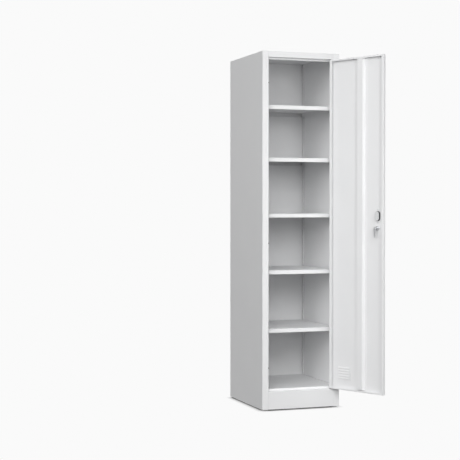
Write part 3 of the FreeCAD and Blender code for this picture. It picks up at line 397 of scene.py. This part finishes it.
def sky():
    """Soft studio light, mostly from the front left, before plain white paper."""
    world = bpy.data.worlds.new("studio")
    tree = new_tree(world)
    output = tree.nodes.new("ShaderNodeOutputWorld")
    direction = tree.nodes.new("ShaderNodeTexCoord").outputs["Generated"]
    total = None
    for settings in SKY_LOBES:
        level = lobe(tree, direction, *settings)
        total = level if total is None else combine(tree, "ADD", total, level)
    light = tree.nodes.new("ShaderNodeBackground")
    light.inputs["Color"].default_value = WHITE
    tree.links.new(total, light.inputs["Strength"])
    paper = tree.nodes.new("ShaderNodeBackground")
    paper.inputs["Color"].default_value = WHITE
    paper.inputs["Strength"].default_value = PAPER
    seen_by_camera(tree, light.outputs["Background"], paper.outputs["Background"], output)
    bpy.context.scene.world = world


def lamps():
    """Soft round lamps in front of the open door, out of the camera's sight."""
    aim = Vector(LAMP_AIM)
    for number, (turn, height, watts) in enumerate(LAMPS):
        turn = math.radians(turn)
        data = bpy.data.lights.new(f"lamp_{number}", "AREA")
        data.shape = "DISK"
        data.size = LAMP_SIZE
        data.energy = watts
        lamp = bpy.data.objects.new(data.name, data)
        lamp.location = (math.sin(turn) * LAMP_DISTANCE,
                         FRONT - math.cos(turn) * LAMP_DISTANCE, height)
        lamp.rotation_euler = (aim - lamp.location).to_track_quat("-Z", "Y").to_euler()
        lamp.visible_camera = False
        bpy.context.scene.collection.objects.link(lamp)


def painted_shadow_under_base(tree):
    """A factor for the floor's brightness: 1 in the open, and a painted shadow in under the
    cabinet.
    """
    low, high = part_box("left_side_panel")[0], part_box("right_side_panel")[1]
    split = tree.nodes.new("ShaderNodeSeparateXYZ")
    place = tree.nodes.new("ShaderNodeTexCoord").outputs["Object"]
    tree.links.new(place, split.inputs["Vector"])
    depths = []
    for axis in range(2):
        middle, half = (low[axis] + high[axis]) / 2, (high[axis] - low[axis]) / 2
        steps = (("SUBTRACT", middle), ("ABSOLUTE", 0.0), ("MULTIPLY", -1.0), ("ADD", half))
        depths.append(chain(tree, split.outputs[axis], steps))
    inside = combine(tree, "MINIMUM", *depths)
    fade = tree.nodes.new("ShaderNodeMapRange")
    fade.inputs["From Max"].default_value = UNDER_SHADOW_FADE
    fade.inputs["To Min"].default_value = 1.0
    fade.inputs["To Max"].default_value = UNDER_SHADOW_LEVEL
    tree.links.new(inside, fade.inputs["Value"])
    return fade.outputs["Result"]


def floor():
    """White paper underfoot, with painted shade in under the cabinet and where something stands
    close.
    """
    turns = [2 * math.pi * step / FLOOR_CORNERS for step in range(FLOOR_CORNERS)]
    ring = [(FLOOR_RADIUS * math.cos(turn), FLOOR_RADIUS * math.sin(turn), 0.0) for turn in turns]
    mesh = bpy.data.meshes.new("floor")
    mesh.from_pydata(ring, [], [list(range(FLOOR_CORNERS))])
    piece = bpy.data.objects.new("floor", mesh)
    bpy.context.scene.collection.objects.link(piece)
    material = bpy.data.materials.new("studio_floor")
    tree = new_tree(material)
    output = tree.nodes.new("ShaderNodeOutputMaterial")
    matt = tree.nodes.new("ShaderNodeBsdfDiffuse")
    matt.inputs["Color"].default_value = (FLOOR_TINT, FLOOR_TINT, FLOOR_TINT, 1.0)
    # Painted shade: the paper's glow is dimmed where the glides and the base stand close.
    near = tree.nodes.new("ShaderNodeAmbientOcclusion")
    near.inputs["Distance"].default_value = FLOOR_CONTACT
    near.samples = SHADE_SAMPLES
    paper_with_painted_shade = chain(tree, near.outputs["AO"], [("MULTIPLY", PAPER)])
    paper = tree.nodes.new("ShaderNodeEmission")
    # Painted shadow: the paper's glow is also dimmed in under the cabinet's footprint.
    tree.links.new(combine(tree, "MULTIPLY", paper_with_painted_shade, painted_shadow_under_base(tree)),
                   paper.inputs["Strength"])
    paper.inputs["Color"].default_value = WHITE
    seen_by_camera(tree, matt.outputs["BSDF"], paper.outputs["Emission"], output)
    mesh.materials.append(material)


def camera():
    """The photograph's viewing angle."""
    data = bpy.data.cameras.new("camera")
    data.lens = CAMERA_LENS
    data.sensor_width = CAMERA_SENSOR
    data.clip_start = CAMERA_NEAR
    data.clip_end = CAMERA_FAR
    eye = bpy.data.objects.new("camera", data)
    eye.location = CAMERA_PLACE
    eye.rotation_euler = (math.radians(90.0 - CAMERA_DIP), 0.0, math.radians(CAMERA_TURN))
    bpy.context.scene.collection.objects.link(eye)
    bpy.context.scene.camera = eye


paint_cad_nodes()
sky()
lamps()
floor()
camera()
bpy.context.scene.view_settings.view_transform = "Standard"
